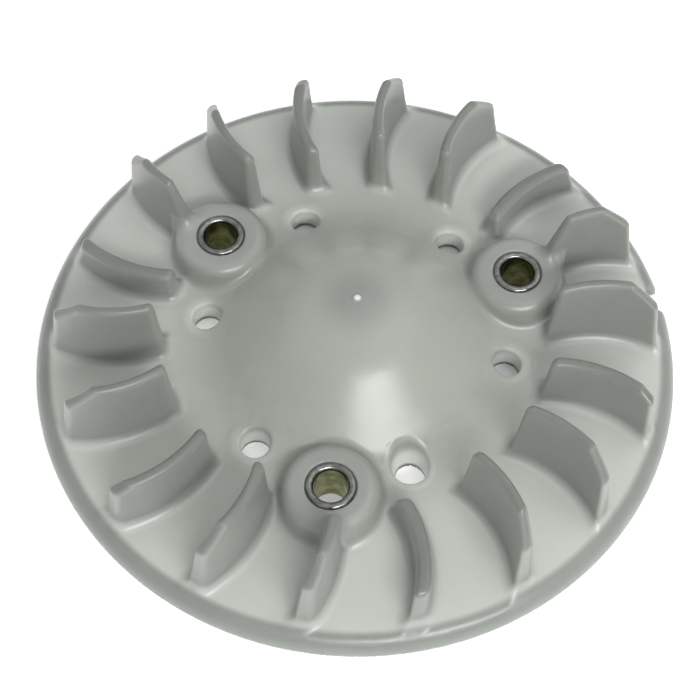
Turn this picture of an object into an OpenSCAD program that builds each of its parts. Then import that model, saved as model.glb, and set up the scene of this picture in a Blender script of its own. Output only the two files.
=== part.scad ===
// Cooling fan that bolts to the flywheel of a small air-cooled engine.
// One moulding (disc and eighteen vanes) carries three pressed-in steel bushes.
// +Z is the crankshaft axis. The origin is on that axis, in the plane of the
// bush ends, which is also the plane of the disc's lower edge.

/* [Disc] */
// Outside diameter of the disc at its lower edge
disc_d = 132; // [126:1:140]
// Height of the upper face where the rim starts to roll over
rim_h = 4.2; // [3.8:0.1:5]
// Radius of the rolled outer edge
roll_r = 3.8; // [3.2:0.1:3.8]
// Wall thickness of the moulding
wall = 2.5; // [2:0.1:2.8]
// Rise of the upper face from the rim towards the hub, in degrees
face_slope = 3; // [1:0.5:4]
// Direction of the notch in the rim, clockwise from the first boss, in degrees
notch_turn = 11.2; // [9:0.2:13]
// Width of the notch at its inner end
notch_w = 5; // [4:0.5:6]
// Depth of the notch from the rim
notch_depth = 3.2; // [2.8:0.1:3.2]
// Radius of the notch's two outer corners
notch_corner_r = 1.5; // [0.5:0.5:2]

/* [Hub dome] */
// Height of the crown above the lower edge
crown_h = 21.7; // [20:0.1:23]
// Radius of the rounded crown
crown_r = 27; // [24:0.5:30]
// Slope of the dome's flank, in degrees
flank_slope = 38; // [36:0.5:39]
// Radius of the hollow where the flank meets the upper face
flank_fillet = 14; // [11:0.5:15]

/* [Bosses and bushes] */
// Diameter of the bolt circle
bolt_circle_d = 72; // [71:0.5:73]
// Diameter of the flat pad on top of each boss
pad_d = 18; // [17:0.2:19]
// Height of the pad above the mounting plane
pad_h = 11.1; // [10.5:0.1:12]
// Diameter of each boss where it reaches the mounting plane
boss_foot_d = 22; // [21:0.2:22.6]
// Outside diameter of a steel bush
bush_od = 10; // [9:0.5:11]
// Bore of a steel bush, for an M6 bolt
bush_bore = 6.8; // [6.4:0.1:7]
// Height that a bush stands proud of its pad
bush_proud = 0.3; // [0.1:0.1:0.5]
// Chamfer at both ends of a bush, inside and out
bush_chamfer = 0.3; // [0.1:0.1:0.4]

/* [Clearance holes] */
// Diameter of the circle of six clearance holes
hole_circle_d = 62.4; // [61:0.2:64]
// Diameter of a clearance hole
hole_d = 6; // [5.6:0.1:6.4]
// Angle of the first hole from the first boss, in degrees
hole_start = 28.2; // [27:0.1:31]
// Height at which the sixth hole starts to widen upwards
pocket_z = 1.5; // [1:0.1:2]
// Diameter of the widened part at that height
pocket_foot_d = 5.8; // [5.6:0.1:6]
// Draft of its wall, in degrees
pocket_draft = 12.4; // [10:0.2:14]
// Distance of its axis from the hole's own, towards the dome
pocket_shift = 0.6; // [0.4:0.1:0.8]
// Diameter of the collar below each hole
collar_d = 10.6; // [10:0.1:11]

/* [Vanes] */
// Vane thickness at the top edge
vane_top_t = 2.1; // [1.8:0.1:2.6]
// Vane thickness at the mounting plane
vane_foot_t = 3.8; // [3.2:0.1:4]
// Radius of the vane's curve in plan
vane_curve_r = 27.4; // [26:0.1:30]
// Distance of the curve's centre outward along the vane's own axis
vane_curve_x = 48.2; // [47.8:0.1:48.6]
// Distance of the curve's centre to the side of that axis
vane_curve_y = -25.5; // [-26:0.1:-25]
// Radius of the inner end at the disc
vane_inner_r = 39; // [38.6:0.1:40]
// Radius of the outer end at the disc
vane_outer_r = 62; // [61.4:0.1:62]

/* [Hidden] */
$fn = 96;
vane_count = 18;
vanes_per_boss = 6;
boss_count = 3;
hole_count = 6;
pocket_hole = 4;
through = 1;               // overshoot of every cutting tool
arc_steps = 8;             // straight steps in each arc of a profile
curve_top = 30;            // height at which the vane's draft is measured
sector_start = -7;         // the sector around a vane's axis that holds it
sector_angle = 16;
vane_root_z = 0.5;         // a vane's side view starts this high, inside the disc
vane_heel_z = 4;           // height of its outer end at the rim
boss_vane_gap = 1.4;       // between a bush and the vane that stands on its boss
boss_vane_inner_r = bolt_circle_d / 2 + bush_od / 2 + boss_vane_gap;

rim_r = disc_d / 2;
roll_c = [rim_r - roll_r, rim_h - roll_r];
crown_c = [0, crown_h - crown_r];

// Each vane's side view, as [radius, height] from its inner top corner to its
// outer top corner. The kinds follow one another from each boss, anticlockwise.
tall = [[40.2, 22.2], [54.8, 22.8], [60.2, 17.6]];
level = [[40, 18], [58, 18.2], [60.9, 16.5]];
low = [[39.4, 12.1], [52, 12.8], [59.8, 13.2]];
on_boss = [[47, 22.2], [54.8, 22.6], [60.2, 17.4]];
vane_kinds = [on_boss, low, tall, tall, level, tall];

// Points of an arc about c from angle a0 to angle a1.
function arc(c, r, a0, a1) =
    [for (i = [0:arc_steps]) let (a = a0 + (a1 - a0) * i / arc_steps)
        c + r * [cos(a), sin(a)]];

// Height of the dome's flank and of the upper face, as straight lines, and
// the radius at which the two lines cross.
flank_start = crown_c + crown_r * [sin(flank_slope), cos(flank_slope)];
face_end = roll_c + roll_r * [sin(face_slope), cos(face_slope)];
function flank_z(r) = flank_start[1] - tan(flank_slope) * (r - flank_start[0]);
function face_z(r) = face_end[1] + tan(face_slope) * (face_end[0] - r);
cross_r = (flank_start[1] + tan(flank_slope) * flank_start[0]
           - face_end[1] - tan(face_slope) * face_end[0])
          / (tan(flank_slope) - tan(face_slope));
half_turn = (flank_slope - face_slope) / 2;
fillet_reach = flank_fillet / cos(half_turn);
fillet_lean = 90 - (flank_slope + face_slope) / 2;
fillet_c = [cross_r, face_z(cross_r)] + fillet_reach * [cos(fillet_lean), sin(fillet_lean)];

// The moulding's face, from the crown to the rim, set back by a depth.
function face_points(depth) = concat(
    arc(crown_c, crown_r - depth, 90, 90 - flank_slope),
    arc(fillet_c, flank_fillet + depth, -90 - flank_slope, -90 - face_slope),
    arc(roll_c, roll_r - depth, 90 - face_slope, 0));

// Everything below the upper face.
module disc_core() {
    rotate_extrude()
        polygon(concat([[0, 0]], face_points(0), [[rim_r, 0]]));
}

module disc_hollow() {
    rotate_extrude()
        polygon(concat([[0, -through]], face_points(wall), [[rim_r - wall, -through]]));
}

// A straight-sided slot that widens with rounded corners where it meets the rim.
module rim_notch() {
    half = notch_w / 2;
    c = notch_corner_r;
    rotate(-notch_turn) translate([rim_r, 0, -through])
        linear_extrude(height = rim_h + 2 * through)
            polygon(concat([[-notch_depth, -half]],
                           arc([-c, -half - c], c, 90, 0),
                           [[through, -half - c], [through, half + c]],
                           arc([-c, half + c], c, 0, -90),
                           [[-notch_depth, half]]));
}

module at_bosses() {
    for (i = [0:boss_count - 1])
        rotate(i * 360 / boss_count) translate([bolt_circle_d / 2, 0, 0]) children();
}

module at_hole(i) {
    rotate(hole_start + i * 360 / hole_count)
        translate([hole_circle_d / 2, 0, 0]) children();
}

// The cone that opens one hole towards the dome.
module pocket() {
    foot = pocket_foot_d / 2;
    translate([-pocket_shift, 0, pocket_z])
        cylinder(h = pad_h, r1 = foot, r2 = foot + pad_h * tan(pocket_draft));
}

module bosses() {
    at_bosses() cylinder(h = pad_h, d1 = boss_foot_d, d2 = pad_d);
}

module disc() {
    color([0.86, 0.88, 0.85]) difference() {
        union() {
            difference() {
                disc_core();
                disc_hollow();
            }
            bosses();
            intersection() {
                disc_core();
                for (i = [0:hole_count - 1])
                    at_hole(i) cylinder(h = crown_h, d = collar_d);
            }
        }
        rim_notch();
        at_bosses() translate([0, 0, -through])
            cylinder(h = pad_h + 2 * through, d = bush_od);
        for (i = [0:hole_count - 1])
            at_hole(i) translate([0, 0, -through]) cylinder(h = crown_h, d = hole_d);
        at_hole(pocket_hole) pocket();
    }
}

// A wall of drafted thickness that follows the vane's curve in plan.
module vane_sheet() {
    foot = vane_foot_t / 2;
    slim = (vane_foot_t - vane_top_t) / 2 * curve_top / crown_h;
    translate([vane_curve_x, vane_curve_y, 0]) difference() {
        cylinder(h = curve_top, r1 = vane_curve_r + foot, r2 = vane_curve_r + foot - slim);
        cylinder(h = curve_top, r1 = vane_curve_r - foot, r2 = vane_curve_r - foot + slim);
    }
}

module vane(i) {
    kind = i % vanes_per_boss;
    inner_r = (kind == 0) ? boss_vane_inner_r : vane_inner_r;
    inner_z = (kind == 0) ? pad_h - through : vane_root_z;
    color([0.8, 0.83, 0.8]) difference() {
        rotate(i * 360 / vane_count) intersection() {
            vane_sheet();
            rotate(sector_start) rotate_extrude(angle = sector_angle)
                polygon(concat([[vane_outer_r, vane_root_z], [inner_r + through, vane_root_z],
                                [inner_r, inner_z]],
                               vane_kinds[kind], [[vane_outer_r, vane_heel_z]]));
        }
        disc_core();
        if (kind == 0) bosses();
    }
}

module bush(i) {
    top = pad_h + bush_proud;
    c = bush_chamfer;
    color([0.62, 0.6, 0.52]) rotate(i * 360 / boss_count)
        translate([bolt_circle_d / 2, 0, 0]) rotate_extrude()
            polygon([[bush_bore / 2 + c, 0], [bush_od / 2, 0],
                     [bush_od / 2, top - c], [bush_od / 2 - c, top],
                     [bush_bore / 2 + c, top], [bush_bore / 2, top - c],
                     [bush_bore / 2, c]]);
}

disc();
vane(0);  // vane_01
vane(1);  // vane_02
vane(2);  // vane_03
vane(3);  // vane_04
vane(4);  // vane_05
vane(5);  // vane_06
vane(6);  // vane_07
vane(7);  // vane_08
vane(8);  // vane_09
vane(9);  // vane_10
vane(10);  // vane_11
vane(11);  // vane_12
vane(12);  // vane_13
vane(13);  // vane_14
vane(14);  // vane_15
vane(15);  // vane_16
vane(16);  // vane_17
vane(17);  // vane_18
bush(0);  // bush_1
bush(1);  // bush_2
bush(2);  // bush_3
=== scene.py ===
# Cooling fan of a small engine's flywheel: looks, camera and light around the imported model.
import math

import bpy
import numpy as np
from mathutils import Matrix, Vector

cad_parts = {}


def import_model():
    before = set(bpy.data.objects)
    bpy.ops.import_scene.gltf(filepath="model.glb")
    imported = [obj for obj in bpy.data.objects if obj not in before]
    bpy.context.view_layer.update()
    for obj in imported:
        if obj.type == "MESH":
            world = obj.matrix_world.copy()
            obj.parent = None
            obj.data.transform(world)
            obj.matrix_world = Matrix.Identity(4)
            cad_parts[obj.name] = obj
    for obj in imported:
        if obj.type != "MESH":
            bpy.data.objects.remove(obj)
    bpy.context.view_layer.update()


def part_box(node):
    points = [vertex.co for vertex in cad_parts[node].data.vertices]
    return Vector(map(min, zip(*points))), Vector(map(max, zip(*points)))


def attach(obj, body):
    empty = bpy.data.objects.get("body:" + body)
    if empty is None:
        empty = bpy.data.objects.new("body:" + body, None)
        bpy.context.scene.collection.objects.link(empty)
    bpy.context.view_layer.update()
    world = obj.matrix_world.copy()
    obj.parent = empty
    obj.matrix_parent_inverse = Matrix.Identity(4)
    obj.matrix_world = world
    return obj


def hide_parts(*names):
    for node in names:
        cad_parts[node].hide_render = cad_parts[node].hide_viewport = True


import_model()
scene = bpy.context.scene
MM = 0.001

# ---------------------------------------------------------------- dimensions, mm and degrees
# Disc: a shell whose face rises gently from a rolled rim to a closed dome.
RIM_R, RIM_H, ROLL_R, WALL = 66.0, 4.2, 3.8, 2.5
LIP_R = 0.5                     # round at the foot of the rim's skirt
FACE_SLOPE, FLANK_SLOPE = math.radians(3), math.radians(38)
CROWN_H, CROWN_R, FLANK_FILLET = 21.7, 27.0, 14.0
NUB_R, NUB_RISE = 1.0, 0.5      # the moulding's gate mark on the crown

# Bosses with their bushes, about equal turns of the bolt circle.
BOLT_COUNT, BOLT_R = 3, 36.0
PAD_R, PAD_H, BOSS_FOOT_R = 9.2, 11.1, 11.4
BUSH_R, BUSH_BORE_R, BUSH_TOP = 5.0, 3.4, 11.4

# Plain holes, each with a collar below. One opens upwards into a leaning cone.
HOLE_COUNT, HOLE_CIRCLE_R, HOLE_START = 6, 31.2, 28.2
HOLE_R, COLLAR_R, COLLAR_COVER = 3.0, 5.3, 0.5
POCKET_HOLE, POCKET_SHIFT, POCKET_LOW, POCKET_LOW_R, POCKET_DRAFT = 4, 0.6, 1.5, 2.9, 0.22

# One square notch in the rim.
NOTCH_TURN, NOTCH_W, NOTCH_DEPTH = -11.2, 5.0, 3.2

# Vanes: arcs in plan, about a centre that turns with each of them.
VANE_COUNT = 18
VANE_PITCH = 360 / VANE_COUNT
VANE_CENTRE, VANE_CURVE_R = np.array([48.2, -25.5]), 27.4
VANE_IN_R, VANE_OUT_R = 39.0, 62.0
VANE_FOOT_HALF, VANE_TOP_HALF = 1.9, 1.05
VANE_SPAN = (35.0, 66.0)        # radii between which the plan curve is worked out
VANE_CORNER = 1.4               # round on the corners of a vane's side view

# A vane's side view: radius and height of its upper corners, foot first, clockwise.
TALL = [(40.2, 22.2), (54.8, 22.8), (60.2, 17.6)]
LEVEL = [(40.0, 18.0), (58.0, 18.2), (60.9, 16.5)]
LOW = [(39.4, 12.1), (52.0, 12.8), (59.8, 13.2)]
ON_BOSS = [(47.0, 22.2), (54.8, 22.6), (60.2, 17.4)]
KINDS = [ON_BOSS, LOW, TALL, TALL, LEVEL, TALL]

# Its inner edge starts inside the disc, or on the boss that it grows from.
INNER = [(VANE_IN_R + 1.0, 4.0), (VANE_IN_R, 5.0)]
INNER_ON_BOSS = [(44.5, 4.0), (43.5, 8.5), (BOLT_R + BUSH_R + 1.6, 10.4)]
OUTER = [(VANE_OUT_R, 4.0), (VANE_OUT_R, 3.2)]

# Fillets and edge rounds. A LOW one is the underside's, and grows by its GAIN on the face.
BOSS_EDGE, BOSS_FILLET_LOW, BOSS_FILLET_GAIN = 2.0, 0.8, 1.2
COLLAR_FILLET = 0.8
VANE_EDGE, VANE_FILLET = 1.0, 2.4
HOLE_EDGE_LOW, HOLE_EDGE_GAIN = 0.3, 0.5
NOTCH_CORNER, NOTCH_EDGE = 0.6, 0.9
SEAT_EDGE, NUB_FILLET = 0.4, 0.5

STEP = 0.5                      # grid of the moulding's mesh
BLOCK = 8                       # grid steps in a block that is looked at as a whole first
SKIN_TRIANGLES = 190000
FAR = 9.0                       # the distance taken for blocks that the surface doesn't cross


# ---------------------------------------------------------------- distance fields
def arc(centre, radius, start, end, steps=16):
    """Points along an arc, with its angles in degrees."""
    t = np.radians(np.linspace(start, end, steps + 1))
    return np.stack([centre[0] + radius * np.cos(t), centre[1] + radius * np.sin(t)], 1)


def polygon_distance(p, corners):
    """Signed distance from points p to a closed polygon, negative inside."""
    v = np.asarray(corners, float)
    best = np.full(len(p), np.inf)
    odd = np.zeros(len(p), bool)
    for a, b in zip(v, np.roll(v, -1, 0)):
        e, w = b - a, p - a
        t = np.clip((w @ e) / (e @ e), 0, 1)
        d = w - t[:, None] * e
        best = np.minimum(best, (d * d).sum(1))
        crosses = (a[1] > p[:, 1]) != (b[1] > p[:, 1])
        if a[1] != b[1]:
            odd ^= crosses & (p[:, 0] < a[0] + (p[:, 1] - a[1]) * e[0] / e[1])
    best = np.sqrt(best)
    return np.where(odd, -best, best)


class Profile:
    """A (radius, height) outline whose signed distance is read from a fine table."""

    def __init__(self, corners, low, high, step=0.1, grow=0.0):
        self.low, self.step = np.array(low, float), step
        n = np.ceil((np.array(high) - low) / step).astype(int) + 1
        g = np.stack(np.meshgrid(*[low[i] + step * np.arange(n[i]) for i in (0, 1)],
                                 indexing="ij"), -1).reshape(-1, 2)
        self.values = polygon_distance(g, corners).reshape(n) - grow

    def __call__(self, r, z):
        n = self.values.shape
        u = np.clip((r - self.low[0]) / self.step, 0, n[0] - 1.001)
        v = np.clip((z - self.low[1]) / self.step, 0, n[1] - 1.001)
        i, j = u.astype(int), v.astype(int)
        u, v = u - i, v - j
        t = self.values
        return ((t[i, j] * (1 - u) + t[i + 1, j] * u) * (1 - v)
                + (t[i, j + 1] * (1 - u) + t[i + 1, j + 1] * u) * v)


def inset(corners, distance):
    """A convex outline, clockwise, with each side moved inwards."""
    v = np.asarray(corners, float)
    e = np.roll(v, -1, 0) - v
    e /= np.linalg.norm(e, axis=1)[:, None]
    inward = np.stack([e[:, 1], -e[:, 0]], 1)
    moved = []
    for i in range(len(v)):
        a, b = inward[i - 1], inward[i]
        moved.append(np.linalg.solve([a, b], [a @ v[i] + distance, b @ v[i] + distance]))
    return np.array(moved)


def blend_union(a, b, radius):
    """Union with a round fillet along the seam."""
    u, v = np.maximum(radius - a, 0), np.maximum(radius - b, 0)
    return np.maximum(radius, np.minimum(a, b)) - np.hypot(u, v)


def blend_cut(a, b, radius):
    """The part of a that is inside b too, with its edge rounded."""
    u, v = np.maximum(radius + a, 0), np.maximum(radius + b, 0)
    return np.minimum(-radius, np.maximum(a, b)) + np.hypot(u, v)


def face_points(depth):
    """The moulding's face from the axis to the rim, set back by depth."""
    crown_c = np.array([0, CROWN_H - CROWN_R])
    roll_c = np.array([RIM_R - ROLL_R, RIM_H - ROLL_R])
    start = crown_c + CROWN_R * np.array([math.sin(FLANK_SLOPE), math.cos(FLANK_SLOPE)])
    end = roll_c + ROLL_R * np.array([math.sin(FACE_SLOPE), math.cos(FACE_SLOPE)])
    flank_fall, face_fall = math.tan(FLANK_SLOPE), math.tan(FACE_SLOPE)
    cross = ((start[1] + flank_fall * start[0] - end[1] - face_fall * end[0])
             / (flank_fall - face_fall))
    reach = FLANK_FILLET / math.cos((FLANK_SLOPE - FACE_SLOPE) / 2)
    lean = math.pi / 2 - (FLANK_SLOPE + FACE_SLOPE) / 2
    fillet_c = np.array([cross + reach * math.cos(lean),
                         end[1] + face_fall * (end[0] - cross) + reach * math.sin(lean)])
    flank, face = math.degrees(FLANK_SLOPE), math.degrees(FACE_SLOPE)
    return np.vstack([arc(crown_c, CROWN_R - depth, 90, 90 - flank),
                      arc(fillet_c, FLANK_FILLET + depth, -90 - flank, -90 - face),
                      arc(roll_c, ROLL_R - depth, 90 - face, 0)])


def mirrored(points):
    """The same half outline on the other side of the axis."""
    return points * [-1, 1]


def shell_outline():
    """The wall of the disc in section, right across the axis."""
    face, back = face_points(0), face_points(WALL)
    face = np.vstack([face[:-1], arc([RIM_R - LIP_R, LIP_R], LIP_R, 0, -90, 6)])
    back = np.vstack([back[:-1], arc([RIM_R - WALL + LIP_R, LIP_R], LIP_R, 180, 270, 6)])
    return np.vstack([face, back[::-1][:-1], mirrored(back)[1:], mirrored(face)[::-1][:-1]])


def core_outline():
    """Everything under the face."""
    face = face_points(0)
    return np.vstack([face, [(RIM_R, -2), (-RIM_R, -2)], mirrored(face)[::-1][:-1]])


def vane_profile(kind):
    """A vane's side view, with round corners."""
    inner = INNER_ON_BOSS if kind is ON_BOSS else INNER
    corners = inset(inner + kind + OUTER, VANE_CORNER)
    return Profile(corners, (34, 0), (66, 26), grow=VANE_CORNER)


# Each table reaches a little past what it holds.
shell = Profile(shell_outline(), (-1, -3), (69, 25))
core = Profile(core_outline(), (-1, -3), (69, 25))
vane_profiles = [vane_profile(kind) for kind in KINDS]


def spun(x, y, angle):
    """x and y turned about the axis by angle, in radians."""
    co, si = np.cos(angle), np.sin(angle)
    return x * co - y * si, x * si + y * co


def folded(x, y, count, start=0.0):
    """Position about the nearest of count equal directions, and its index."""
    pitch = 360 / count
    k = np.round((np.degrees(np.arctan2(y, x)) - start) / pitch).astype(int)
    u, v = spun(x, y, np.radians(-(start + pitch * k)))
    return u, v, k % count


def vane_field(x, y, z):
    """Signed distance to the nearest vane: a drafted sheet, cut to its side view."""
    rho = np.hypot(x, y)
    c = np.hypot(*VANE_CENTRE)
    r = np.clip(rho, *VANE_SPAN)
    lean = (np.degrees(np.arctan2(VANE_CENTRE[1], VANE_CENTRE[0])
                       + np.arccos((r * r + c * c - VANE_CURVE_R ** 2) / (2 * r * c))))
    turn = np.degrees(np.arctan2(y, x)) - lean
    k = np.round(turn / VANE_PITCH).astype(int)
    u, v = spun(x, y, np.radians(-VANE_PITCH * k))
    half = VANE_FOOT_HALF + (VANE_TOP_HALF - VANE_FOOT_HALF) * np.clip(z / CROWN_H, 0, 1.1)
    sheet = np.abs(np.hypot(u - VANE_CENTRE[0], v - VANE_CENTRE[1]) - VANE_CURVE_R) - half
    side = np.empty_like(x)
    for i, profile in enumerate(vane_profiles):
        mine = (k % len(KINDS)) == i
        side[mine] = profile(rho[mine], z[mine])
    return blend_cut(sheet, side, VANE_EDGE)


def boss_field(d, z):
    """Signed distance to a boss, from the distance d to its axis."""
    slope = (BOSS_FOOT_R - PAD_R) / PAD_H
    cone = (d - BOSS_FOOT_R + slope * z) / math.hypot(1, slope)
    return np.maximum(blend_cut(cone, z - PAD_H, BOSS_EDGE), -z)


def hole_field(u, v, d, z, hole):
    """Positive inside a hole: a cylinder, and over one of them the leaning cone."""
    pocket = (POCKET_LOW_R + POCKET_DRAFT * (z - POCKET_LOW)
              - np.hypot(u - HOLE_CIRCLE_R + POCKET_SHIFT, v))
    return np.where(hole == POCKET_HOLE, np.maximum(HOLE_R - d, pocket), HOLE_R - d)


def notch_field(x, y):
    """Signed distance to the notch in the rim."""
    u, v = spun(x, y, math.radians(-NOTCH_TURN))
    return blend_cut(np.abs(v) - NOTCH_W / 2, RIM_R - NOTCH_DEPTH - u, NOTCH_CORNER)


def field(p):
    """Signed distance to the moulding, mm."""
    x, y, z = p[:, 0], p[:, 1], p[:, 2]
    r = np.hypot(x, y)
    above = np.clip((z - 2.0) / 3.0, 0, 1)     # 0 on the underside, 1 on the face
    u, v, _ = folded(x, y, BOLT_COUNT)
    bolt_d = np.hypot(u - BOLT_R, v)
    u, v, hole = folded(x, y, HOLE_COUNT, HOLE_START)
    hole_d = np.hypot(u - HOLE_CIRCLE_R, v)
    collar = np.maximum(np.maximum(hole_d - COLLAR_R, core(r, z) + COLLAR_COVER), -z)
    nub = np.maximum(np.hypot(r, z - CROWN_H + NUB_R - NUB_RISE) - NUB_R, -z)
    f = blend_union(shell(r, z), boss_field(bolt_d, z), BOSS_FILLET_LOW + BOSS_FILLET_GAIN * above)
    f = blend_union(f, collar, COLLAR_FILLET)
    f = blend_union(f, vane_field(x, y, z), VANE_FILLET)
    f = blend_cut(f, hole_field(u, v, hole_d, z, hole), HOLE_EDGE_LOW + HOLE_EDGE_GAIN * above)
    f = blend_cut(f, -notch_field(x, y), NOTCH_EDGE)
    f = blend_cut(f, BUSH_R - bolt_d, SEAT_EDGE)
    return blend_union(f, nub, NUB_FILLET)


def gradient(p, reach=0.03):
    """The field's slope, from its values a little to either side."""
    g = np.empty_like(p)
    for i in range(3):
        s = np.zeros(3)
        s[i] = reach
        g[:, i] = (field(p + s) - field(p - s)) / (2 * reach)
    return g


def settle(p, turns):
    """Moves points along the field's slope until they lie on the surface."""
    for _ in range(turns):
        f, g = field(p), gradient(p)
        step = f / np.maximum((g * g).sum(1), 0.2)
        p = p - np.clip(step, -STEP / 2, STEP / 2)[:, None] * g
    return p


def in_parts(fn, p, size=400000):
    """fn over many points, a part of them at a time, to spare memory."""
    return np.concatenate([fn(p[i:i + size]) for i in range(0, len(p), size)])


# ---------------------------------------------------------------- meshes
def sampled_field(low, high):
    """The field on a regular grid, worked out only in blocks near the surface."""
    n = np.ceil((np.array(high) - low) / STEP / BLOCK).astype(int) * BLOCK
    axes = [low[i] + STEP * np.arange(n[i]) for i in range(3)]
    centres = np.stack(np.meshgrid(*[a.reshape(-1, BLOCK).mean(1) for a in axes],
                                   indexing="ij"), -1)
    coarse = in_parts(field, centres.reshape(-1, 3)).reshape(centres.shape[:3])
    half_diagonal = STEP * BLOCK * 0.87
    near = np.abs(coarse) < half_diagonal + 1.2       # with 1.2 to spare, where blends overlap
    pick = np.ix_(*[np.repeat(np.arange(m // BLOCK), BLOCK) for m in n])
    f = np.where(coarse < 0, -FAR, FAR).astype(np.float32)[pick]
    live = np.nonzero(near[pick])
    f[live] = in_parts(field, np.stack([axes[i][live[i]] for i in range(3)], 1))
    return f


def cell_vertices(f, cells, corners):
    """For each cell, the mean of the points where its edges cross the surface."""
    value = {o: f[cells[:, 0] + o[0], cells[:, 1] + o[1], cells[:, 2] + o[2]]
             for o in corners}
    total, hits = np.zeros((len(cells), 3)), np.zeros(len(cells))
    for o in corners:
        for axis in range(3):
            if o[axis]:
                continue
            a, b = value[o], value[tuple(1 if i == axis else o[i] for i in range(3))]
            crossed = (a < 0) != (b < 0)
            t = np.where(crossed, a / np.where(crossed, a - b, 1), 0)
            for i in range(3):
                total[:, i] += np.where(crossed, o[i] + (t if i == axis else 0), 0)
            hits += crossed
    return cells + total / hits[:, None]


def edge_quads(inside, index, axis):
    """A quad round each grid edge along one axis that crosses the surface."""
    n = inside.shape
    here = [slice(1, m - 1) for m in n]
    here[axis] = slice(0, n[axis] - 1)
    there = list(here)
    there[axis] = slice(1, n[axis])
    first, second = inside[tuple(here)], inside[tuple(there)]
    base = np.stack(np.nonzero(first != second), 1)
    outward = first[tuple(base.T)]
    base = base + [h.start for h in here]
    ring = []
    for side, up in ((-1, -1), (0, -1), (0, 0), (-1, 0)):
        cell = base.copy()
        cell[:, (axis + 1) % 3] += side
        cell[:, (axis + 2) % 3] += up
        ring.append(index[tuple(cell.T)])
    ring = np.stack(ring, 1)
    ring[~outward] = ring[~outward][:, ::-1]
    return ring


def surface_net(low, high):
    """Vertices and quads of the field's zero surface: one vertex in each cell that it crosses."""
    f = sampled_field(low, high)
    inside = f < 0
    n = f.shape
    corners = [(a, b, c) for a in (0, 1) for b in (0, 1) for c in (0, 1)]
    count = np.zeros(tuple(m - 1 for m in n), np.int8)
    for a, b, c in corners:
        count += inside[a:n[0] - 1 + a, b:n[1] - 1 + b, c:n[2] - 1 + c]
    active = (count > 0) & (count < 8)
    cells = np.stack(np.nonzero(active), 1)
    index = np.full(count.shape, -1, np.int64)
    index[active] = np.arange(len(cells))
    verts = np.array(low) + STEP * cell_vertices(f, cells, corners)
    return verts, np.concatenate([edge_quads(inside, index, axis) for axis in range(3)])


def mesh_of(name, verts, faces):
    """A mesh from arrays, with faces that all have the same number of corners."""
    mesh = bpy.data.meshes.new(name)
    mesh.vertices.add(len(verts))
    mesh.vertices.foreach_set("co", np.asarray(verts, np.float32).ravel())
    faces = np.asarray(faces, np.int32)
    starts = np.arange(len(faces), dtype=np.int32) * faces.shape[1]
    mesh.loops.add(faces.size)
    mesh.loops.foreach_set("vertex_index", faces.ravel())
    mesh.polygons.add(len(faces))
    mesh.polygons.foreach_set("loop_start", starts)
    mesh.update(calc_edges=True)
    mesh.validate()
    return mesh


def thinned(obj, triangles):
    """Swaps the object's mesh for one of about this many triangles."""
    whole = obj.data
    thin = obj.modifiers.new("thin", "DECIMATE")
    thin.ratio = min(1.0, triangles / (2 * len(whole.polygons)))
    depsgraph = bpy.context.evaluated_depsgraph_get()
    mesh = bpy.data.meshes.new_from_object(obj.evaluated_get(depsgraph))
    obj.modifiers.clear()
    obj.data = mesh
    bpy.data.meshes.remove(whole)
    mesh.name = obj.name
    return mesh


def make_moulding():
    """The fan moulding in one piece, with its vertices and normals on the exact field."""
    reach = RIM_R + 1.25
    verts, quads = surface_net((-reach, -reach, -1.0), (reach, reach, CROWN_H + 2.5))
    verts = in_parts(lambda p: settle(p, 2), verts)
    obj = bpy.data.objects.new("fan_moulding", mesh_of("fan_moulding", verts * MM, quads))
    scene.collection.objects.link(obj)
    mesh = thinned(obj, SKIN_TRIANGLES)
    co = np.empty(len(mesh.vertices) * 3, np.float32)
    mesh.vertices.foreach_get("co", co)
    p = in_parts(lambda q: settle(q, 1), co.reshape(-1, 3).astype(float) / MM)
    p[:, 2] = np.maximum(p[:, 2], 0)
    mesh.vertices.foreach_set("co", (p * MM).astype(np.float32).ravel())
    normals = in_parts(gradient, p)
    normals /= np.linalg.norm(normals, axis=1)[:, None]
    mesh.polygons.foreach_set("use_smooth", np.ones(len(mesh.polygons), bool))
    mesh.normals_split_custom_set_from_vertices(normals.tolist())
    mesh.update()
    return obj


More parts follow.
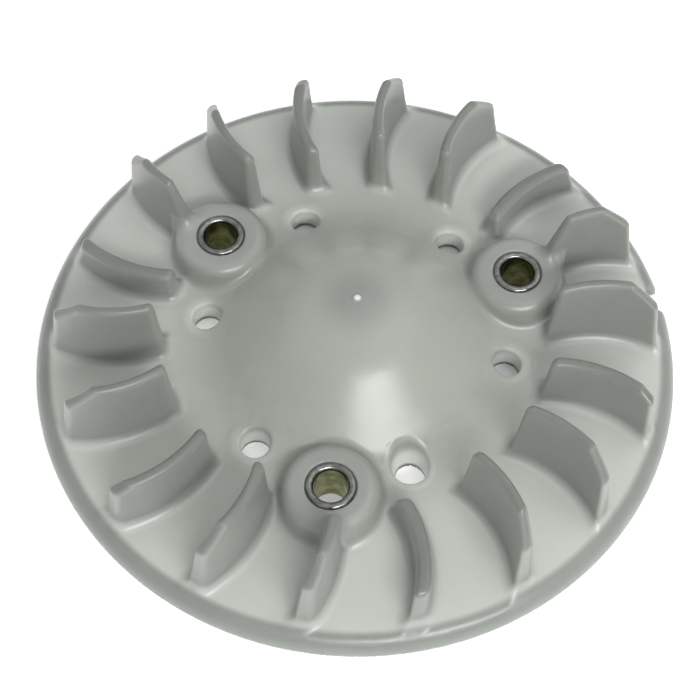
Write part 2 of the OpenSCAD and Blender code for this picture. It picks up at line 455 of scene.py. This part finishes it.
# ---------------------------------------------------------------- materials
class Graph:
    """A new material's node tree, with short ways to add the nodes used here."""

    def __init__(self, name):
        self.material = bpy.data.materials.new(name)
        self.material.use_nodes = True
        self.tree = self.material.node_tree
        self.shader = self.tree.nodes["Principled BSDF"]
        self.place = self.tree.nodes.new("ShaderNodeTexCoord").outputs["Object"]

    def node(self, kind, inputs, out=0, **settings):
        n = self.tree.nodes.new("ShaderNode" + kind)
        for key, value in settings.items():
            setattr(n, key, value)
        for key, value in inputs.items():
            if isinstance(value, bpy.types.NodeSocket):
                self.tree.links.new(value, n.inputs[key])
            else:
                n.inputs[key].default_value = value
        return n.outputs[out]

    def math(self, operation, a, b=0.0):
        return self.node("Math", {0: a, 1: b}, operation=operation)

    def product(self, first, *others):
        for other in others:
            first = self.math("MULTIPLY", first, other)
        return first

    def greatest(self, first, *others):
        for other in others:
            first = self.math("MAXIMUM", first, other)
        return first

    def fade(self, value, low, high):
        """0 at low and 1 at high, smooth between them; low may be the larger."""
        return self.node("MapRange", {"Value": value, "From Min": low, "From Max": high},
                         interpolation_type="SMOOTHSTEP")

    def fade_mm(self, length, low, high):
        """The same for a length, with low and high in millimetres."""
        return self.fade(length, low * MM, high * MM)

    def noise(self, scale, detail=2.0):
        return self.node("TexNoise", {"Vector": self.place, "Scale": scale, "Detail": detail})

    def mix(self, factor, a, b):
        """A colour between a and b, each a socket or red, green and blue."""
        n = self.tree.nodes.new("ShaderNodeMix")
        n.data_type = "RGBA"
        self.tree.links.new(factor, n.inputs[0])
        for socket, value in zip((n.inputs[6], n.inputs[7]), (a, b)):
            if isinstance(value, bpy.types.NodeSocket):
                self.tree.links.new(value, socket)
            else:
                socket.default_value = (*value, 1)
        return n.outputs[2]

    def parts(self, vector):
        n = self.tree.nodes.new("ShaderNodeSeparateXYZ")
        self.tree.links.new(vector, n.inputs[0])
        return n.outputs

    def away(self, x, y):
        """Distance in plan from the point x, y."""
        p = self.parts(self.place)
        flat = self.node("CombineXYZ", {0: p[0], 1: p[1]})
        return self.node("VectorMath", {0: flat, 1: (x, y, 0)}, out=1, operation="DISTANCE")

    def near_any(self, radius, count, start, far, near):
        """1 close to any of the axes that stand on a circle at equal turns."""
        best = 0.0
        for i in range(count):
            a = math.radians(start + i * 360 / count)
            away = self.away(radius * math.cos(a) * MM, radius * math.sin(a) * MM)
            best = self.greatest(best, self.fade_mm(away, far, near))
        return best

    def facing_up(self):
        """The surface's own slope: 1 where it faces up, -1 where it faces down."""
        normal = self.tree.nodes.new("ShaderNodeNewGeometry").outputs["Normal"]
        return self.parts(normal)[2]

    def finish(self, color, roughness, bump, distance):
        link = self.tree.links.new
        link(color, self.shader.inputs["Base Color"])
        link(roughness, self.shader.inputs["Roughness"])
        normal = self.node("Bump", {"Height": bump, "Distance": distance})
        link(normal, self.shader.inputs["Normal"])
        return self.material


def vane_distance(g):
    """Distance in plan from the nearest vane's middle, as nodes."""
    m = g.math
    x, y, _ = g.parts(g.place)
    centre, curve = math.hypot(*VANE_CENTRE) * MM, VANE_CURVE_R * MM
    r = m("MINIMUM", m("MAXIMUM", g.away(0, 0), VANE_SPAN[0] * MM), VANE_SPAN[1] * MM)
    cosine = m("DIVIDE", m("ADD", m("MULTIPLY", r, r), centre ** 2 - curve ** 2),
               m("MULTIPLY", r, 2 * centre))
    lean = m("ADD", m("ARCCOSINE", cosine), math.atan2(VANE_CENTRE[1], VANE_CENTRE[0]))
    pitch = math.radians(VANE_PITCH)
    k = m("ROUND", m("DIVIDE", m("SUBTRACT", m("ARCTAN2", y, x), lean), pitch))
    turn = m("MULTIPLY", k, -pitch)
    co, si = m("COSINE", turn), m("SINE", turn)
    u = m("SUBTRACT", m("MULTIPLY", x, co), m("MULTIPLY", y, si))
    v = m("ADD", m("MULTIPLY", x, si), m("MULTIPLY", y, co))
    du, dv = m("SUBTRACT", u, VANE_CENTRE[0] * MM), m("SUBTRACT", v, VANE_CENTRE[1] * MM)
    out = m("SQRT", m("ADD", m("MULTIPLY", du, du), m("MULTIPLY", dv, dv)))
    return m("ABSOLUTE", m("SUBTRACT", out, curve))


def nylon_color(g):
    """Natural nylon's colour: milky, with painted light and shade laid into it: a painted glow on
    the thin web and in the hole walls, painted shade on the vanes, bosses and rim, a painted dark
    reflection round the crown, a painted shadow at the holes' foot and a painted highlight on the
    nub.
    """
    z, r, upright = g.parts(g.place)[2], g.away(0, 0), g.facing_up()

    # Painted shade: the boss pads are coloured greyer, at 0.75 of the shade colour.
    boss = g.near_any(BOLT_R, BOLT_COUNT, 0, 11.6, 10.2)
    off_pad = g.greatest(g.math("SUBTRACT", 1.0, boss), g.fade_mm(z, 11.3, 13.5))
    # Painted shade: the vanes, off the pads and above the disc, take the grey shade colour.
    vane = g.product(g.fade_mm(vane_distance(g), 3.4, 2.6), g.fade_mm(r, 37.5, 39.5),
                     off_pad, g.fade_mm(z, 4.2, 6.8))
    # Painted reflection: the crown within 10 mm of the axis is greyer, for a dark reflection
    # there.
    gate = g.product(g.fade_mm(r, 10.0, 2.0), 0.85)
    # Painted shade: the rolled rim from 62 mm out takes the grey shade colour.
    rim = g.fade_mm(r, 62.0, 63.6)
    # The painted shade of bosses, vanes and rim, and the crown's painted reflection, as one mask.
    painted_shade = g.greatest(g.product(boss, 0.75), vane, gate, rim)

    # Painted shade: the vanes' upward-facing tops, and a little of the rim, are darker still.
    vane_top_shade = g.product(vane, g.fade(upright, 0.1, 0.9), g.fade_mm(z, 9.0, 13.0))
    edge = g.greatest(vane_top_shade, g.product(rim, 0.15))
    # Painted light: the thin web from 30 mm out to the rim is coloured lighter, for light let
    # through the thin wall.
    painted_glow_web = g.product(g.fade_mm(r, 30.0, 46.0), g.fade_mm(r, 65.5, 61.5))
    # Painted light: the hole walls are coloured much lighter, a painted glow through the wall.
    hole_wall_glow = g.product(g.fade_mm(z, 6.6, 3.6),
                          g.near_any(HOLE_CIRCLE_R, HOLE_COUNT, HOLE_START, 5.2, 4.4))
    # Painted shadow: a near-black band at the foot of each hole's wall.
    hole_foot_shadow = g.product(g.fade_mm(z, 1.6, 0.6), hole_wall_glow, g.fade(upright, -0.6, -0.2))
    # Painted highlight: a near-white spot on the nub.
    nub_highlight = g.fade_mm(r, 0.9, 0.4)

    milky = g.mix(g.noise(38, 3), (0.295, 0.315, 0.280), (0.350, 0.370, 0.335))
    # Painted light: the lighter colour of the web's painted glow.
    thin = g.mix(g.noise(45, 3), (0.450, 0.473, 0.440), (0.510, 0.535, 0.500))
    # Colours of the painted shade: grey, and darker on upward-facing vane tops.
    painted_shade_grey = g.mix(g.noise(90), (0.222, 0.237, 0.219), (0.262, 0.278, 0.257))
    painted_shade_dark = g.mix(g.noise(90), (0.150, 0.162, 0.148), (0.180, 0.192, 0.175))
    # Laid in turn: the web's painted glow, the hole walls' painted glow, the painted shadow at
    # their foot, the painted shade, and the nub's painted highlight.
    color = g.mix(painted_glow_web, milky, thin)
    color = g.mix(hole_wall_glow, color, (0.580, 0.600, 0.565))
    color = g.mix(hole_foot_shadow, color, (0.080, 0.085, 0.080))
    color = g.mix(edge, g.mix(painted_shade, color, painted_shade_grey), painted_shade_dark)
    return g.mix(nub_highlight, color, (0.620, 0.640, 0.610))


def nylon():
    """The moulding: a glossy, slightly uneven skin that lets light in."""
    g = Graph("natural_nylon")
    rough = g.math("ADD", g.product(g.noise(60), 0.08), 0.28)
    flow = g.math("ADD", g.noise(110), g.product(g.noise(900, 3), 0.2))
    g.shader.inputs["Subsurface Weight"].default_value = 0.8
    g.shader.inputs["Subsurface Radius"].default_value = (1.0, 1.0, 0.9)
    g.shader.inputs["Subsurface Scale"].default_value = 4 * MM
    g.shader.inputs["IOR"].default_value = 1.53
    return g.finish(nylon_color(g), rough, flow, 0.12 * MM)


def turned_metal(name, stains, polish, grain, dull, bright, smoothest, spread):
    """Bare metal. stains, polish and grain are the noise scales of colour, roughness and bump."""
    g = Graph(name)
    color = g.mix(g.fade(g.noise(stains, 3), 0.3, 0.7), dull, bright)
    rough = g.math("ADD", g.product(g.noise(polish), spread), smoothest)
    g.shader.inputs["Metallic"].default_value = 1.0
    return g.finish(color, rough, g.noise(grain), 0.01 * MM)


def steel():
    """Turned, zinc-plated steel: the bush's outside and its end faces."""
    return turned_metal("bush_steel", 700, 1500, 2500,
                        (0.150, 0.154, 0.147), (0.260, 0.267, 0.255), 0.16, 0.16)


def passivated():
    """The yellow-green passivation that stays in the bore."""
    return turned_metal("bush_bore", 420, 900, 1600,
                        (0.150, 0.158, 0.060), (0.380, 0.395, 0.190), 0.13, 0.08)


# ---------------------------------------------------------------- pieces
def make_bush(name, x, y, materials):
    """A pressed-in bush: rounded lips, and a bore with its own finish."""
    bore_lip, outer_lip, foot = 0.85, 0.65, 0.3
    bore_middle = 6.0
    turns, lip_steps = 96, 9
    outside = np.vstack([[(BUSH_R - foot, 0), (BUSH_R, foot)],
                         arc((BUSH_R - outer_lip, BUSH_TOP - outer_lip), outer_lip,
                             0, 90, lip_steps)])
    inside = np.vstack([arc((BUSH_BORE_R + bore_lip, BUSH_TOP - bore_lip), bore_lip,
                            90, 180, lip_steps + 1),
                        [(BUSH_BORE_R, bore_middle), (BUSH_BORE_R, foot),
                         (BUSH_BORE_R + foot, 0)]])
    outline = np.vstack([outside, inside])
    bore_start = len(outside) + lip_steps
    n = len(outline)
    t = np.radians(np.arange(turns) * 360 / turns)
    verts = np.stack([x + outline[:, 0, None] * np.cos(t), y + outline[:, 0, None] * np.sin(t),
                      np.repeat(outline[:, 1, None], turns, 1)], -1).transpose(1, 0, 2)
    i, j = np.meshgrid(np.arange(turns), np.arange(n), indexing="ij")
    here, next_turn = i * n, (i + 1) % turns * n
    up = (j + 1) % n
    quads = np.stack([here + j, next_turn + j, next_turn + up, here + up], -1).reshape(-1, 4)
    mesh = mesh_of(name, verts.reshape(-1, 3) * MM, quads)
    for material in materials:
        mesh.materials.append(material)
    in_bore = (j >= bore_start) & (j < n - 1)
    mesh.polygons.foreach_set("material_index", in_bore.ravel().astype(np.int32))
    mesh.polygons.foreach_set("use_smooth", np.ones(len(quads), bool))
    mesh.set_sharp_from_angle(angle=math.radians(35))
    obj = bpy.data.objects.new(name, mesh)
    scene.collection.objects.link(obj)
    return obj


moulding = make_moulding()
moulding.data.materials.clear()
moulding.data.materials.append(nylon())
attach(moulding, "root")
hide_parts("disc", *["vane_%02d" % i for i in range(1, VANE_COUNT + 1)])

bush_finish = [steel(), passivated()]
for i in range(BOLT_COUNT):
    low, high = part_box("bush_%d" % (i + 1))
    bush = make_bush("turned_bush_%d" % (i + 1), (low[0] + high[0]) / 2 / MM,
                     (low[1] + high[1]) / 2 / MM, bush_finish)
    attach(bush, "root")
    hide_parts("bush_%d" % (i + 1))


# ---------------------------------------------------------------- stage
def floor():
    """Pale paper that glows a little, with painted shadow: less glow under the part and least
    behind the dome.
    """
    n, half, drop = 40, 5.0, 0.2 * MM
    line = np.linspace(-half, half, n)
    x, y = np.meshgrid(line, line, indexing="ij")
    verts = np.stack([x, y, np.full_like(x, -drop)], -1).reshape(-1, 3)
    i, j = np.meshgrid(np.arange(n - 1), np.arange(n - 1), indexing="ij")
    a = (i * n + j).ravel()
    mesh = mesh_of("floor", verts, np.stack([a, a + n, a + n + 1, a + 1], 1))
    obj = bpy.data.objects.new("floor", mesh)
    scene.collection.objects.link(obj)
    mesh.materials.append(paper())


def paper():
    """The floor's own white, with a glow of 0.35 in the open and 0.02 to 0.3 under the part, as
    painted shadow that is deepest behind the dome.
    """
    g = Graph("floor_paper")
    g.shader.inputs["Base Color"].default_value = (0.93, 0.93, 0.93, 1)
    g.shader.inputs["Roughness"].default_value = 0.9
    g.shader.inputs["Emission Color"].default_value = (1, 1, 1, 1)
    outside = g.fade_mm(g.away(0, 0), RIM_R - 2, RIM_R)
    x, y, _ = g.parts(g.place)
    # Painted shadow under the part: its glow is 0.02 behind the dome and rises to 0.3 towards the
    # front.
    back = g.math("ADD", g.product(x, 0.75), g.product(y, 0.65))
    painted_light_front = g.fade_mm(back, 12, -18)
    under = g.math("ADD", g.product(painted_light_front, 0.28), 0.02)
    glow = g.node("Mix", {0: outside, 2: under, 3: 0.35})
    g.tree.links.new(glow, g.shader.inputs["Emission Strength"])
    return g.material


def towards(azimuth, elevation):
    """The direction at this azimuth from +X and elevation, in degrees."""
    a, e = math.radians(azimuth), math.radians(elevation)
    return Vector((math.cos(e) * math.cos(a), math.cos(e) * math.sin(a), math.sin(e)))


def area_light(name, direction, width, height, power):
    """An oval soft light 0.9 m from the part, which it faces."""
    target, distance = Vector((0, 0, 0.01)), 0.9
    data = bpy.data.lights.new(name, "AREA")
    data.shape = "ELLIPSE"
    data.size = width
    data.size_y = height
    data.energy = power
    obj = bpy.data.objects.new(name, data)
    scene.collection.objects.link(obj)
    obj.location = target + direction * distance
    obj.rotation_euler = (-direction).to_track_quat("-Z", "Y").to_euler()


def camera():
    """The viewing angle: a close view from 60 degrees above, 332 mm from the disc's centre."""
    elevation, heading = math.radians(59.712), math.radians(-23.77)
    distance = 0.33155
    pitch, yaw, roll = (math.radians(a) for a in (-0.130, 0.205, 1.895))
    rise, run = math.sin(elevation), math.cos(elevation)
    level = Matrix(((1, 0, 0), (0, -rise, -run), (0, run, -rise)))    # right, down, forward
    view = (Matrix.Rotation(roll, 3, "Z") @ Matrix.Rotation(pitch, 3, "X")
            @ Matrix.Rotation(yaw, 3, "Y") @ level)
    axes = Matrix((view[0], -view[1], -view[2])).transposed()
    place = Vector((0, -distance * run, distance * rise))
    data = bpy.data.cameras.new("camera")
    data.sensor_width = 36
    data.lens = 81.761
    data.clip_start = 0.01
    obj = bpy.data.objects.new("camera", data)
    scene.collection.objects.link(obj)
    obj.matrix_world = Matrix.Rotation(heading, 4, "Z") @ Matrix.LocRotScale(place, axes, None)
    scene.camera = obj


def world():
    """An even studio: bright overhead, darker towards the horizon."""
    w = bpy.data.worlds.new("studio")
    scene.world = w
    w.use_nodes = True
    nodes, link = w.node_tree.nodes, w.node_tree.links.new
    parts = nodes.new("ShaderNodeSeparateXYZ")
    link(nodes.new("ShaderNodeTexCoord").outputs["Generated"], parts.inputs[0])
    ramp = nodes.new("ShaderNodeValToRGB")
    ramp.color_ramp.elements[0].color = (0.44, 0.44, 0.44, 1)
    ramp.color_ramp.elements[1].color = (0.82, 0.82, 0.82, 1)
    link(parts.outputs[2], ramp.inputs["Fac"])
    link(ramp.outputs["Color"], nodes["Background"].inputs["Color"])


floor()
camera()
world()
area_light("key", towards(-4, 62), 0.9, 0.9, 1.35)
area_light("glow", towards(-90, 42), 0.70, 0.15, 5.4)
scene.view_settings.view_transform = "Standard"
